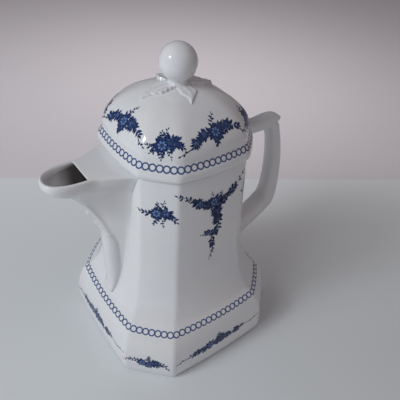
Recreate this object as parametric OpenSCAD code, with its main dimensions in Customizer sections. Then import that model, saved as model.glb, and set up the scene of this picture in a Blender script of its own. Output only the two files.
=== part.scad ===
// Covered-spout porcelain pot with a lift-off domed lid.
// The spout points along -X, the handle along +X, and the pot stands on Z = 0.
// The plan of the vessel, the lid and the collar is one figure: a square with cut corners.

/* [Plan] */
// Share of the half width that each corner cut takes off a wide face
corner_share = 0.41; // [0.3:0.01:0.55]
// Radius of the upright edges of the vessel
edge_r = 4.5; // [1.5:0.5:8]

/* [Vessel] */
// Height of the rim that the lid rests on
rim_h = 170; // [150:1:190]
// Half width across the wide faces at the rim
rim_half_w = 44.8; // [40:0.2:50]
// Half width where the straight upper walls end and the flare starts
waist_half_w = 47.3; // [45:0.1:52]
// Height of the top of the flare
waist_h = 102; // [90:1:115]
// Half width at the shoulder line of the flared base
shoulder_half_w = 63.5; // [56:0.5:70]
// Height of the shoulder line
shoulder_h = 44.6; // [38:0.2:50]
// Half width of the underside of the base
base_half_w = 65.5; // [58:0.5:72]
// How far the base bulges out past its underside
base_bulge = 10.5; // [4:0.5:14]
// Thickness of the vessel wall
wall_t = 4; // [3:0.25:5.5]
// Thickness of the vessel floor
floor_t = 5; // [4:0.5:8]

/* [Foot] */
// Height of the unglazed foot ring
foot_h = 3; // [2:0.5:5]
// Width of the foot ring
foot_w = 6; // [4:0.5:10]
// Step from the edge of the underside in to the foot ring
foot_step = 1; // [0.5:0.25:3]

/* [Spout] */
// Distance from the pot's axis to the tip of the lip
spout_reach = 98.5; // [92:0.5:106]
// Distance from the axis to the straight back edge of the mouth
mouth_back = 72.7; // [68:0.1:80]
// Half width of the spout where its sides turn into the lip
lip_half_w = 13.8; // [11:0.2:17]
// Thickness of the spout wall
spout_t = 3; // [2.5:0.25:4]
// Half width of the rib that runs down below the beak
rib_half_w = 9.5; // [7:0.5:12]
// Distance from the axis to the front of the rib
rib_front = 61.8; // [58:0.2:66]
// Height of the lower end of the rib
rib_foot_h = 48; // [46:0.5:56]
// Height of the throat, where the rib turns into the beak
throat_h = 110; // [100:1:118]
// Height of the top of the port from the vessel into the spout
port_top_h = 152; // [140:1:154]
// Height of the bottom of that port
port_low_h = 64; // [60:1:80]
// Half width of that port
port_half_w = 6; // [3:0.5:6.5]

/* [Spout leaf] */
// Height of the leaf from its scrolls to its tip
leaf_h = 25; // [18:1:30]
// Half width of the leaf across its scrolls
leaf_half_w = 9; // [7:0.5:11]
// How far the leaf stands out of the spout
leaf_relief = 1.5; // [0.8:0.1:2.5]

/* [Handle] */
// Distance from the axis to the middle of the grip at its widest
handle_reach = 107.6; // [100:0.2:116]
// Height of the middle of the top arm
handle_top_h = 162.2; // [156:0.2:164]
// Height of the middle of the lower arm where it lands on the flare
handle_foot_h = 51; // [49:0.5:56]
// Width of the grip, side to side
grip_w = 10; // [8:0.5:14]
// Depth of the grip, front to back
grip_t = 10.5; // [8:0.5:14]
// Depth of the lower arm
lower_arm_t = 15.5; // [12:0.5:18]
// How far the thumb rest stands up from the top arm
thumb_rise = 1.8; // [1:0.2:3]

/* [Lid] */
// How far the lid's edge stands out past the rim
lid_overhang = 0.8; // [0.4:0.1:2]
// How far the flared band of the lid stands out past the lid's edge
band_flare = 1.8; // [0.8:0.1:3]
// Height of the groove above the band
groove_h = 14.2; // [12:0.2:16]
// Depth of the groove behind the band
groove_in = 1.6; // [0.5:0.1:2.5]
// Height of the dome over the rim
dome_h = 43; // [38:0.5:48]
// Thickness of the lid
lid_t = 3.5; // [2.5:0.25:4.5]
// Radius of the ridges between the panels of the dome
ridge_r = 9; // [4:0.5:14]
// Depth of the collar that drops into the mouth
collar_drop = 14; // [10:0.5:18]
// Thickness of the collar
collar_t = 3.5; // [2.5:0.25:4.5]
// Gap between the collar and the inside of the mouth
collar_gap = 0.8; // [0.4:0.1:1.5]

/* [Knob] */
// Radius of the ball
ball_r = 12.6; // [10:0.2:15]
// Radius of the neck under the ball
neck_r = 6.5; // [5:0.25:7]
// Length of the neck that shows between the dome and the ball
neck_h = 2.2; // [1:0.2:5]

/* [Knob leaves] */
// Distance from the axis to the tips of the four leaves
leaf_tip_r = 27; // [22:0.5:29]
// Distance from the axis to the notches between the leaves
leaf_notch_r = 10.5; // [9:0.5:14]
// How far the leaves stand out of the dome
calyx_relief = 1.6; // [0.8:0.1:2]

/* [Hidden] */
porcelain = "ghostwhite";
biscuit = "antiquewhite";
eps = 0.01;
edge_steps = 4;

foot_half_w = base_half_w - foot_step;
mouth_half_w = rim_half_w - wall_t;
floor_h = foot_h + floor_t;
lid_half_w = rim_half_w + lid_overhang;
dome_top_h = rim_h + dome_h;
boss_half_w = neck_r + 1.5;
spout_root = rim_half_w - 2;
face_half_w = rim_half_w * (1 - corner_share);

// Curves

// Point at t on the cubic curve with the four control points p
function curve(p, t) = pow(1 - t, 3) * p[0] + 3 * pow(1 - t, 2) * t * p[1]
    + 3 * (1 - t) * t * t * p[2] + t * t * t * p[3];

// Points of that curve in n steps, from step first on
function run(p, n, first = 0) = [for (i = [first:n]) curve(p, i / n)];

// A ring of the plan at height z: half width a, upright edges rounded to radius r
function plan(a, r, cut = corner_share) =
    let (
        round_r = min(r, 1.2 * cut * a),
        wide = a - round_r,
        diagonal = (2 - cut) * a / sqrt(2) - round_r
    )
    [for (k = [0:7])
        let (
            turn = 45 * k,
            near = k % 2 == 0 ? wide : diagonal,
            next = k % 2 == 0 ? diagonal : wide,
            cx = (near * sin(turn + 45) - next * sin(turn)) / sin(45),
            cy = (next * cos(turn) - near * cos(turn + 45)) / sin(45)
        )
        for (j = [0:edge_steps])
            let (way = turn + 45 * j / edge_steps)
            [cx + round_r * cos(way), cy + round_r * sin(way)]];

function at_height(points, z) = [for (p = points) [p.x, p.y, z]];

// Corner cut of a figure that lies a distance t inside one with half width a
function inner_cut(a, t) = (corner_share * a - t * (2 - sqrt(2))) / (a - t);

// Solid through a list of rings, each with as many points, from the lowest up
module loft(rings) {
    n = len(rings[0]);
    m = len(rings);
    polyhedron(
        points = [for (r = rings) each r],
        faces = concat(
            [[for (i = [0:n - 1]) i]],
            [[for (i = [n - 1:-1:0]) (m - 1) * n + i]],
            [for (k = [0:m - 2], i = [0:n - 1])
                let (j = (i + 1) % n)
                each [[k * n + i, (k + 1) * n + i, (k + 1) * n + j],
                      [k * n + i, (k + 1) * n + j, k * n + j]]]
        )
    );
}

// Vessel

// Half width and height of the vessel's outside, from the underside to the rim
belly_curve = [[base_half_w, foot_h], [base_half_w + base_bulge, foot_h + 3.5],
               [shoulder_half_w + 10, shoulder_h - 11.5], [shoulder_half_w, shoulder_h]];
flare_curve = [[shoulder_half_w, shoulder_h], [shoulder_half_w - 7.5, shoulder_h + 6.4],
               [waist_half_w + 2.2, waist_h - 36], [waist_half_w, waist_h]];
vessel_profile = concat(run(belly_curve, 9), run(flare_curve, 8, 1), [[rim_half_w, rim_h]]);

module vessel_outside() {
    loft([for (p = vessel_profile) at_height(plan(p.x, edge_r), p.y)]);
}

module vessel_inside() {
    inside = [for (p = vessel_profile) if (p.y > floor_h + wall_t) [p.x - wall_t, p.y]];
    heel = [[inside[0].x - 4, floor_h], [inside[0].x - 1, floor_h + 1.5]];
    top = [[mouth_half_w, rim_h + 1]];
    loft([for (p = concat(heel, inside, top))
        at_height(plan(p.x, edge_r - 1, inner_cut(p.x + wall_t, wall_t)), p.y)]);
}

module vessel() {
    color(porcelain)
    difference() {
        vessel_outside();
        vessel_inside();
        port();
    }
}

// The upright slot with round ends that lets the drink into the spout
module port() {
    ends = [port_low_h + port_half_w, port_top_h - port_half_w];
    for (z = ends)
        translate([-rib_front, 0, z]) rotate([0, 90, 0])
            cylinder(rib_front - mouth_half_w + 3, r = port_half_w, $fn = 48);
    translate([-rib_front, -port_half_w, ends[0]])
        cube([rib_front - mouth_half_w + 3, 2 * port_half_w, ends[1] - ends[0]]);
}

module foot_ring() {
    color(biscuit)
    linear_extrude(foot_h)
    difference() {
        polygon(plan(foot_half_w, edge_r));
        polygon(plan(foot_half_w - foot_w, edge_r, inner_cut(foot_half_w, foot_w)));
    }
}

// Spout

// Front line of the spout from the foot of the rib to the lip: distance from the axis and height
rib_bend = 12;
rib_end = [for (u = [0.1, 0.3, 0.5, 0.7, 0.85])
    [rib_front - 9 * (1 - sin(90 * u)), rib_foot_h + rib_bend * (1 - cos(90 * u))]];
lip_root = [spout_reach - 11, rim_h - 13];
throat_curve = [[rib_front + 0.5, throat_h], [rib_front + 2.7, throat_h + 18],
                [lip_root.x - 9, lip_root.y - 3.75], lip_root];
lip_curve = [lip_root, lip_root + [6, 2.5], [spout_reach + 0.3, rim_h - 8], [spout_reach, rim_h - 2]];
front_line = concat(rib_end, [[rib_front, rib_foot_h + rib_bend + 2]],
                    run(throat_curve, 9), run(lip_curve, 4, 1));

// Half width of the spout where it meets the vessel, at height z
function root_half_w(z) =
    let (up = max(0, (z - throat_h + 10) / (rim_h - throat_h + 10)),
         down = max(0, min(1, (rib_foot_h + rib_bend - z) / rib_bend)))
    (rib_half_w + (face_half_w - rib_half_w) * pow(up, 1.4)) * sqrt(1.02 - down * down);

// Share of the root's half width that is left where the nose of the section starts
function nose_share(z) =
    let (beak = max(0, min(1, (z - throat_h) / 30)), lip = max(0, (z - rim_h + 20) / 20))
    0.86 - 0.42 * beak + (lip_half_w / face_half_w - 0.44) * lip;

// One level section of the spout, grown outwards by grow, from the root round the nose
function spout_section(p, grow, root) =
    let (
        front = p.x + grow,
        half = max(1, root_half_w(p.y) + grow),
        nose_half = max(0.8, root_half_w(p.y) * nose_share(p.y) + grow),
        nose_x = front - 0.46 * (p.x - rim_half_w + 3) - 3,
        nose = [[-nose_x, nose_half], [-nose_x - 0.45 * (front - nose_x), nose_half * 1.08],
                [-front, nose_half * 0.8], [-front, 0]],
        side = concat([[-root, half]], run(nose, 7))
    )
    concat(side, [for (i = [len(side) - 2:-1:0]) [side[i].x, -side[i].y]]);

module spout_outside(grow = 0) {
    top_edge = [[spout_reach - 0.3, rim_h - 0.7], [spout_reach - 1, rim_h]];
    loft(concat(
        [for (p = front_line) at_height(spout_section(p, grow, spout_root), p.y)],
        [for (p = top_edge) at_height(spout_section(p, grow - 0.5, spout_root), p.y + grow)]
    ));
}

// The channel inside the spout, up to the underside of its top
module spout_hollow() {
    top = rim_h - spout_t;
    inner_line = [for (p = front_line) if (p.y > rib_foot_h + 7) p + [0, 0.6 * spout_t]];
    below = [for (p = inner_line) if (p.y < top - 0.5) p];
    last = below[len(below) - 1];
    loft([for (p = concat(below, [[last.x, top]]))
        at_height(spout_section(p, -spout_t, mouth_half_w - 3), p.y)]);
}

module mouth_opening() {
    brim = [spout_reach, rim_h - 2];
    intersection() {
        loft([for (z = [rim_h - 7, rim_h + 1])
            at_height(spout_section(brim, -spout_t * 0.85, spout_root), z)]);
        translate([-spout_reach - 5, -30, rim_h - 8])
            cube([spout_reach + 5 - mouth_back, 60, 10]);
    }
}

module spout() {
    color(porcelain)
    difference() {
        spout_outside();
        vessel_outside();
        spout_hollow();
        mouth_opening();
    }
}

// Outline of the leaf on the throat, seen from the front: round lobes that shrink towards the tip
module leaf_outline(share) {
    lobes = 4;
    blade = [for (u = [0:0.125:1]) [share * leaf_half_w * (0.78 - 0.7 * pow(u, 1.3)), leaf_h * u]];
    polygon(concat(blade, [for (i = [len(blade) - 1:-1:0]) [-blade[i].x, blade[i].y]]));
    if (share == 1)
        for (side = [-1, 1], i = [0:lobes - 1])
            let (u = (i + 0.45) / (lobes + 0.4))
            translate([side * leaf_half_w * (0.76 - 0.7 * pow(u, 1.3)), leaf_h * u])
                circle(leaf_half_w * (0.27 - 0.035 * i), $fn = 12);
}

// What is given, cut to a leaf outline that is pushed through it from the front
module cut_to_leaf(share, base_z) {
    intersection() {
        translate([-spout_reach, 0, base_z])
            rotate([90, 0, 90])
            linear_extrude(spout_reach - rim_half_w)
            leaf_outline(share);
        children();
    }
}

module spout_leaf() {
    base_z = throat_h + 1;
    scroll_r = 2.4;
    color(porcelain)
    difference() {
        union() {
            cut_to_leaf(1, base_z) spout_outside(leaf_relief);
            cut_to_leaf(0.28, base_z) spout_outside(leaf_relief + 1.1);
            for (side = [-1, 1])
                translate([-rib_front + 5, side * (root_half_w(base_z) - 1.2), base_z + 1])
                    sphere(scroll_r, $fn = 12);
            translate([-rib_front - 8.3, 0, base_z + leaf_h - 2])
                sphere(scroll_r, $fn = 12);
        }
        spout_outside();
        vessel_outside();
    }
}

// Handle

// One section of the handle across its run: middle, direction of the run, depth and width
function grip_section(p, way, t, w) =
    let (
        cut = 0.3 * min(t, w),
        a = t / 2,
        b = w / 2,
        outline = [[a, b - cut], [a - 0.3 * cut, b - 0.3 * cut], [a - cut, b],
                   [cut - a, b], [0.3 * cut - a, b - 0.3 * cut], [-a, b - cut],
                   [-a, cut - b], [0.3 * cut - a, 0.3 * cut - b], [cut - a, -b],
                   [a - cut, -b], [a - 0.3 * cut, 0.3 * cut - b], [a, cut - b]]
    )
    [for (q = outline) [p.x - q.x * sin(way), -q.y, p.y + q.x * cos(way)]];

// Direction of a run of points at point i, in degrees
function heading(path, i) =
    let (a = path[max(0, i - 1)], b = path[min(len(path) - 1, i + 1)])
    atan2(b.y - a.y, b.x - a.x);

module sweep_grip(path, depth, width) {
    loft([for (i = [0:len(path) - 1])
        grip_section(path[i], heading(path, i), depth[i], width[i])]);
}

module handle() {
    crook = handle_foot_h + 62;
    elbow = [handle_reach - 5.5, handle_foot_h + 22];
    sill = [handle_reach - 33, handle_foot_h + 8.5];
    land = [waist_half_w + 4, handle_foot_h - 3];
    knee_curve = [[handle_reach - 27, handle_top_h], [handle_reach - 16, handle_top_h + 0.4],
                  [handle_reach - 12.6, handle_top_h - 1], [handle_reach - 11.4, handle_top_h - 9.5]];
    grip_curve = [knee_curve[3], [handle_reach - 10, handle_top_h - 21],
                  [handle_reach - 4.2, crook + 20], [handle_reach - 2.2, crook]];
    bend_curve = [grip_curve[3], [handle_reach - 0.2, crook - 20],
                  [handle_reach + 3.4, handle_foot_h + 31], elbow];
    foot_curve = [elbow, elbow + [-6, -6.5], sill + [9, 3.6], sill];
    path = concat([[rim_half_w - 3, handle_top_h], [rim_half_w + 12, handle_top_h]],
                  run(knee_curve, 6), run(grip_curve, 5, 1), run(bend_curve, 5, 1),
                  run(foot_curve, 4, 1), [0.5 * (sill + land), land]);
    last = len(path) - 1;
    function share(i) = max(0, (i - 8) / (last - 8));
    depth = [for (i = [0:last]) grip_t - 1.9 + (lower_arm_t - grip_t + 1.9) * pow(share(i), 1.5)];
    width = [for (i = [0:last]) grip_w + (i == 0 ? 2.5 : 0) + 4 * pow(share(i), 4)];
    color(porcelain)
    difference() {
        union() {
            sweep_grip(path, depth, width);
            thumb_rest();
        }
        vessel_outside();
    }
}

// The raised end of the top arm that the thumb lies on
module thumb_rest() {
    crown = handle_top_h + (grip_t - 1.9) / 2 + thumb_rise;
    x = handle_reach - 15.5;
    hull() {
        for (side = [-1, 1], end = [[-7, crown - 2.3, 1.6], [1.5, crown - 1.7, 1.7], [3.4, crown - 6, 2]])
            translate([x + end.x, side * (grip_w / 2 - end.z), end.y])
                sphere(end.z, $fn = 12);
        translate([x - 12, -grip_w / 2 + 3, handle_top_h - 2]) cube([12, grip_w - 6, 4]);
    }
}

// Lid

// Half width and height of the lid's outside: edge, flared band, groove and dome
band_profile = [[lid_half_w, rim_h], [lid_half_w + 0.75 * band_flare, rim_h + 1.6],
                [lid_half_w + band_flare, rim_h + 4], [lid_half_w + 0.9 * band_flare, rim_h + 6.5]];
groove_point = [lid_half_w - groove_in, rim_h + groove_h];
groove_curve = [band_profile[3], [lid_half_w + 0.4 * band_flare, rim_h + 9.2],
                groove_point - [0, 3.2], groove_point];
dome_curve = [groove_point, groove_point + [1.1, 11.6],
              [0.62 * lid_half_w, dome_top_h - 1.5], [boss_half_w, dome_top_h]];
lid_profile = concat(band_profile, run(groove_curve, 4, 1), run(dome_curve, 12, 1));

module dome_outside(grow = 0) {
    loft([for (p = lid_profile)
        at_height(plan(p.x + grow, ridge_r * min(1, 0.45 + 0.55 * (p.y - rim_h) / groove_h)), p.y + grow)]);
}

module lid_dome() {
    inside_top = dome_top_h - lid_t;
    inside = [for (p = lid_profile) if (p.y > groove_point.y && p.x > boss_half_w + 5)
        [p.x - lid_t, min(inside_top, p.y - 0.6 * lid_t)]];
    collar_in = mouth_half_w - collar_gap - collar_t;
    lower = [[collar_in, rim_h - 1], [collar_in, rim_h + 4], [inside[0].x - 0.5, groove_point.y - 4]];
    color(porcelain)
    difference() {
        dome_outside();
        loft([for (p = concat(lower, inside))
            at_height(plan(p.x, edge_r - 1.5, inner_cut(p.x + lid_t, lid_t)), p.y)]);
    }
}

module lid_collar() {
    outer = mouth_half_w - collar_gap;
    cut = inner_cut(rim_half_w, wall_t + collar_gap);
    color(porcelain)
    translate([0, 0, rim_h - collar_drop])
    linear_extrude(collar_drop)
    difference() {
        polygon(plan(outer, edge_r, cut));
        polygon(plan(outer - collar_t, edge_r - 1.5, inner_cut(rim_half_w, wall_t + collar_gap + collar_t)));
    }
}

// Knob

module lid_knob() {
    sink = ball_r - sqrt(ball_r * ball_r - neck_r * neck_r);
    color(porcelain)
    translate([0, 0, dome_top_h]) {
        cylinder(neck_h + sink + eps, r = neck_r, $fn = 64);
        translate([0, 0, neck_h + ball_r]) sphere(ball_r, $fn = 96);
    }
}

// Outline of the four leaves: pointed tips over the wide panels
function calyx_r(way) =
    leaf_notch_r + (leaf_tip_r - leaf_notch_r) * (1 - pow(abs(sin(2 * way)), 1.15));

module calyx_outline() {
    polygon([for (way = [0:5:355]) calyx_r(way) * [cos(way), sin(way)]]);
    for (turn = [0:90:270], side = [-1, 1], way = [9, 17, 27, 38])
        rotate(turn + side * way)
            translate([calyx_r(way) - 0.9, 0]) circle(1.1 + 0.025 * way, $fn = 12);
}

// The midrib of one leaf, seen from above
module midrib_outline() {
    polygon([[0, -2.2], [leaf_tip_r - 3, -0.5], [leaf_tip_r - 3, 0.5], [0, 2.2]]);
}

module knob_leaves() {
    base_z = rim_h + groove_h;
    color(porcelain)
    difference() {
        union() {
            intersection() {
                translate([0, 0, base_z]) linear_extrude(dome_h) calyx_outline();
                dome_outside(calyx_relief);
            }
            intersection() {
                translate([0, 0, base_z]) linear_extrude(dome_h)
                    for (turn = [0:90:270]) rotate(turn) midrib_outline();
                dome_outside(calyx_relief + 0.8);
            }
        }
        dome_outside();
        translate([0, 0, dome_top_h - 1]) cylinder(10, r = neck_r + 0.3, $fn = 64);
    }
}

vessel();
foot_ring();
spout();
spout_leaf();
handle();
lid_dome();
lid_collar();
lid_knob();
knob_leaves();
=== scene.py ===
# %% [markdown]
# # Porcelain pot with a covered spout
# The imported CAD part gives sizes, places and the lid's travel. This script builds the glazed
# skins, the modelled leaves and the blue painted sprays, and then the table, the light and the
# camera. Lengths in the helper functions are millimetres; meshes are stored in metres.

# %% Setup
import math
import random

import bmesh
import bpy
import numpy as np
from mathutils import Matrix, Vector
from mathutils.bvhtree import BVHTree


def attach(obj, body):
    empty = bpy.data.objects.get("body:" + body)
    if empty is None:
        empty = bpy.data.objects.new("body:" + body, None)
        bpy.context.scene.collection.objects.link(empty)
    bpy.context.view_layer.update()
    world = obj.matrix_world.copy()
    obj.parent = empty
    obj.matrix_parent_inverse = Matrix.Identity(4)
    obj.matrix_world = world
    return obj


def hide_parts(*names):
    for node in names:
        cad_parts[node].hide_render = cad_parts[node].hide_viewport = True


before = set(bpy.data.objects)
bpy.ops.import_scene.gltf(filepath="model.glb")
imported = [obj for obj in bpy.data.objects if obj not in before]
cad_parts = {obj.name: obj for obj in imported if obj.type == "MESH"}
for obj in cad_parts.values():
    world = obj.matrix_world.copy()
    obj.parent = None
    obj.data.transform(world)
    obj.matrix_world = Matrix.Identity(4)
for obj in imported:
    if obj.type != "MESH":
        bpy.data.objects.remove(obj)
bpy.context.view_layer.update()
MM = 0.001
print("frame nodes:", sorted(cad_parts))

# %% [markdown]
# ## Camera
# A camera can be set by eye or solved. This one was solved from the edges of the pot, so that
# proportions read off the picture hold: it looks down at 38 degrees from the side of the spout, and
# it is rolled a little. It is made of three directions and a distance, which shows what each does.

# %% Camera
AZIMUTH, ELEVATION, ROLL = math.radians(38.15), math.radians(38.04), math.radians(4.32)
TARGET = Vector((25.64, 0, 106.09)) * MM
DISTANCE = 362.7 * MM

back = Vector((-math.sin(AZIMUTH) * math.cos(ELEVATION),
               -math.cos(AZIMUTH) * math.cos(ELEVATION), math.sin(ELEVATION)))
flat_right = (-back).cross(Vector((0, 0, 1))).normalized()
flat_up = flat_right.cross(-back)
right = flat_right * math.cos(ROLL) + flat_up * math.sin(ROLL)
up = -flat_right * math.sin(ROLL) + flat_up * math.cos(ROLL)

camera = bpy.data.objects.new("camera", bpy.data.cameras.new("camera"))
camera.data.sensor_fit = "HORIZONTAL"
camera.data.angle = math.radians(49.26)
camera.data.clip_start = 0.01
camera.matrix_world = Matrix.Translation(TARGET + back * DISTANCE) @ Matrix(
    (right, up, back)).transposed().to_4x4()
bpy.context.scene.collection.objects.link(camera)
bpy.context.scene.camera = camera
bpy.context.scene.view_settings.view_transform = "Standard"
print("camera at", [round(v, 3) for v in camera.location])

# %% [markdown]
# ## Shader maths
# A pattern is sums and products of sockets. Nodes could be added and linked one by one, but that
# hides the sum, so a small class wraps a socket and lets an expression add the nodes.

# %% Shader helper
class Shade:
    """Builds one node material from expressions on sockets."""

    def __init__(self, name):
        self.material = bpy.data.materials.new(name)
        self.material.use_nodes = True
        self.tree = self.material.node_tree
        self.tree.nodes.clear()
        self.out = self.tree.nodes.new("ShaderNodeOutputMaterial")

    def node(self, kind, inputs=None, **settings):
        made = self.tree.nodes.new("ShaderNode" + kind)
        for key, value in settings.items():
            setattr(made, key, value)
        for key, value in (inputs or {}).items():
            self.feed(made.inputs[key], value)
        return made

    def feed(self, socket, value):
        if isinstance(value, Value):
            self.tree.links.new(value.socket, socket)
        else:
            socket.default_value = value

    def place(self):
        return Value(self, self.node("TexCoord").outputs["Object"])

    def noise(self, scale, detail=2.0, rough=0.5):
        made = self.node("TexNoise", {"Vector": self.place(), "Scale": scale,
                                      "Detail": detail, "Roughness": rough})
        return Value(self, made.outputs["Fac"])

    def mix(self, amount, low, high):
        made = self.node("Mix", data_type="RGBA")
        for index, value in ((0, amount), (6, low), (7, high)):
            self.feed(made.inputs[index], value)
        return Value(self, made.outputs[2])

    def bump(self, height, strength, distance):
        made = self.node("Bump", {"Height": height, "Strength": strength, "Distance": distance})
        return Value(self, made.outputs[0])

    def surface(self, **inputs):
        """The Principled surface; underscores in the names stand for spaces."""
        made = self.node("BsdfPrincipled", {k.replace("_", " "): v for k, v in inputs.items()})
        self.tree.links.new(made.outputs[0], self.out.inputs[0])
        return self.material


class Value:
    """A socket that takes part in arithmetic."""

    def __init__(self, shade, socket):
        self.shade, self.socket = shade, socket

    def math(self, operation, *others):
        made = self.shade.node("Math", operation=operation)
        for index, value in enumerate((self,) + others):
            self.shade.feed(made.inputs[index], value)
        return Value(self.shade, made.outputs[0])

    def __add__(self, other):
        return self.math("ADD", other)

    def __sub__(self, other):
        return self.math("SUBTRACT", other)

    def __mul__(self, other):
        return self.math("MULTIPLY", other)

    def __rsub__(self, other):
        return self.math("MULTIPLY", -1.0).math("ADD", other)

    __radd__ = __add__
    __rmul__ = __mul__

    def ramp(self, low, high):
        """0 below low, 1 above high."""
        made = self.shade.node("MapRange", {"Value": self, "From Min": low, "From Max": high})
        made.clamp = True
        return Value(self.shade, made.outputs[0])

    def axis(self, name):
        made = self.shade.node("SeparateXYZ", {"Vector": self})
        return Value(self.shade, made.outputs[name])


print("shader helper ready")

# %% [markdown]
# ## Materials
# Hard porcelain is a slightly cool white body under a thin clear glaze. One plain glossy white would
# look like plastic: the real glaze pools and thins, ripples by a hair and holds a few specks, so noise
# moves the colour, the roughness and the bump a little. The foot is wiped bare before the firing, so
# it is dry and grainy. Cobalt sinks into the glaze, so its film is dark inside and bleeds at its edge.

# %% Materials
def glaze(name, base, warm, rough=0.07, painted_shade=False):
    shade = Shade(name)
    pooling = shade.noise(28.0, 3.0)
    ripple = shade.noise(160.0, 2.0) * 0.6 + shade.noise(45.0, 2.0) * 1.4
    specks = shade.noise(900.0, 2.0).ramp(0.74, 0.8)
    body = shade.mix(pooling.ramp(0.35, 0.65), base, warm)
    body = shade.mix(specks * 0.18, body, (0.42, 0.4, 0.38, 1))
    # painted shade: where the attribute is high, the glaze is tinted dark grey-brown in place of the
    # shade that falls inside the spout's mouth
    if painted_shade:
        painted_mouth_shade = Value(shade, shade.node("Attribute", attribute_name="painted_mouth_shade").outputs["Fac"])
        body = shade.mix(painted_mouth_shade, body, (0.16, 0.145, 0.14, 1))
    return shade.surface(
        Base_Color=body, Roughness=pooling.ramp(0.3, 0.7) * 0.05 + rough,
        Normal=shade.bump(ripple, 0.12, 0.0006), IOR=1.52, Coat_Weight=0.35,
        Coat_Roughness=0.03, Subsurface_Weight=0.12, Subsurface_Radius=(0.003, 0.0026, 0.0022),
        Subsurface_Scale=0.6)


def biscuit(name):
    shade = Shade(name)
    grain = shade.noise(1400.0, 4.0, 0.7)
    stain = shade.noise(60.0, 3.0).ramp(0.4, 0.7)
    body = shade.mix(stain, (0.62, 0.59, 0.54, 1), (0.7, 0.68, 0.64, 1))
    return shade.surface(Base_Color=body, Roughness=grain.ramp(0.2, 0.8) * 0.15 + 0.75,
                         Normal=shade.bump(grain, 0.5, 0.0002))


def cobalt(name):
    """Cobalt under the glaze: dense in the strokes, paler in petals, bled out at the edges."""
    shade = Shade(name)
    ink = Value(shade, shade.node("Attribute", attribute_name="ink").outputs["Fac"])
    tone = Value(shade, shade.node("Attribute", attribute_name="tone").outputs["Fac"])
    cloud = shade.noise(1500.0, 3.0, 0.6).ramp(0.3, 0.7)
    dark = shade.mix(cloud, (0.003, 0.011, 0.060, 1), (0.008, 0.027, 0.130, 1))
    pale = shade.mix(cloud, (0.08, 0.16, 0.42, 1), (0.17, 0.28, 0.56, 1))
    blue = shade.mix(tone, dark, pale)
    bled = shade.mix(ink.ramp(0.1, 0.9), (0.22, 0.34, 0.60, 1), blue)
    return shade.surface(Base_Color=bled, Alpha=ink.ramp(0.0, 0.75), Roughness=cloud * 0.04 + 0.08,
                         IOR=1.45, Specular_IOR_Level=0.35)


WHITE = (0.80, 0.815, 0.845, 1)
WARM = (0.83, 0.835, 0.85, 1)
white_glaze = glaze("white_glaze", WHITE, WARM)
spout_glaze_painted_shade = glaze("spout_glaze_painted_shade", WHITE, WARM, painted_shade=True)
painted_glaze = glaze("painted_glaze", WHITE, WARM, 0.06)
cobalt_blue = cobalt("cobalt_blue")
bare_biscuit = biscuit("bare_biscuit")
print("materials:", [m.name for m in bpy.data.materials])

# %% [markdown]
# ## Form helpers
# The plan of the pot is a square with cut corners, rounded upright edges and sides that bow out. It
# could be a bevelled cube, but the cut and the bow change with the height. So each ring of the plan is
# worked out, and a skin is drawn up from it: its edges are extruded and moved to the next ring.

# %% Form helpers
CUT, BOW = 0.41, 0.05
BASE_CUT, BASE_BOW = 0.385, 0.022


def cut_at(z):
    """Corner cut of the plan at height z: a little less round the base."""
    return float(np.interp(z, (44, 62), (BASE_CUT, CUT)))


def bow_at(z):
    """Share of the half width by which the sides bow out at height z."""
    return float(np.interp(z, (20, 52), (BASE_BOW, BOW)))


def ease(low, high, value):
    """0 at low and 1 at high, with soft ends; low may be the larger number."""
    t = min(1.0, max(0.0, (value - low) / (high - low)))
    return t * t * (3 - 2 * t)


def curve(points, steps, first=0):
    """Points on a cubic curve with four control points."""
    p = [np.array(q, float) for q in points]
    return [tuple((1 - t) ** 3 * p[0] + 3 * (1 - t) ** 2 * t * p[1]
                  + 3 * (1 - t) * t * t * p[2] + t ** 3 * p[3])
            for t in (i / steps for i in range(first, steps + 1))]


def side_of(a, cut, bow, k):
    """Distance, half length and bow of side k of the plan: wide and narrow sides take turns."""
    if k % 2 == 0:
        return a, a * (1 - cut), bow * a
    return (2 - cut) * a / math.sqrt(2), cut * a / math.sqrt(2), 0.35 * bow * a


def turned(x, s, k):
    """The point (x, s) turned by k eighths of a circle."""
    turn = math.radians(45 * k)
    c, d = math.cos(turn), math.sin(turn)
    return np.array((x * c - s * d, x * d + s * c))


def plan(a, r, cut=CUT, bow=BOW, wide=16, narrow=10, arc=6):
    """One ring of the plan: half width a at its sharp corners, which are rounded to about r."""
    trim = 0.42 * min(r, 1.2 * cut * a)
    sides = []
    for k in range(8):
        reach, half, swell = side_of(a, cut, bow, k)
        steps = narrow if k % 2 else wide
        along = [math.sin(math.pi * (i / steps - 0.5)) * (half - trim) for i in range(steps + 1)]
        sides.append([turned(reach + swell * (1 - (v / half) ** 2), v, k) for v in along])
    ring = []
    for k in range(8):
        reach, half, _ = side_of(a, cut, bow, k)
        start, corner, stop = sides[k][-1], turned(reach, half, k), sides[(k + 1) % 8][0]
        ring += sides[k]
        for t in (i / (arc + 1) for i in range(1, arc + 1)):
            ring.append((1 - t) ** 2 * start + 2 * t * (1 - t) * corner + t * t * stop)
    return [(float(x), float(y)) for x, y in ring]


def inner_cut(a, t, cut=CUT):
    """Corner cut of a figure that lies t inside one with half width a."""
    return (cut * a - t * (2 - math.sqrt(2))) / (a - t)


print("plan of", len(plan(45, 4.5)), "points")

# %% [markdown]
# ## Mesh helpers
# Every skin on the pot is made in the same few steps, so these are functions: a ring is set at its
# height, rings are drawn up into a skin, a closed shape is cut out of another, and a finished piece
# hides the CAD solid it stands for and is attached to what it moves with.

# %% Mesh helpers
def at_height(ring, z):
    return [(x, y, z) for x, y in ring]


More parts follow.
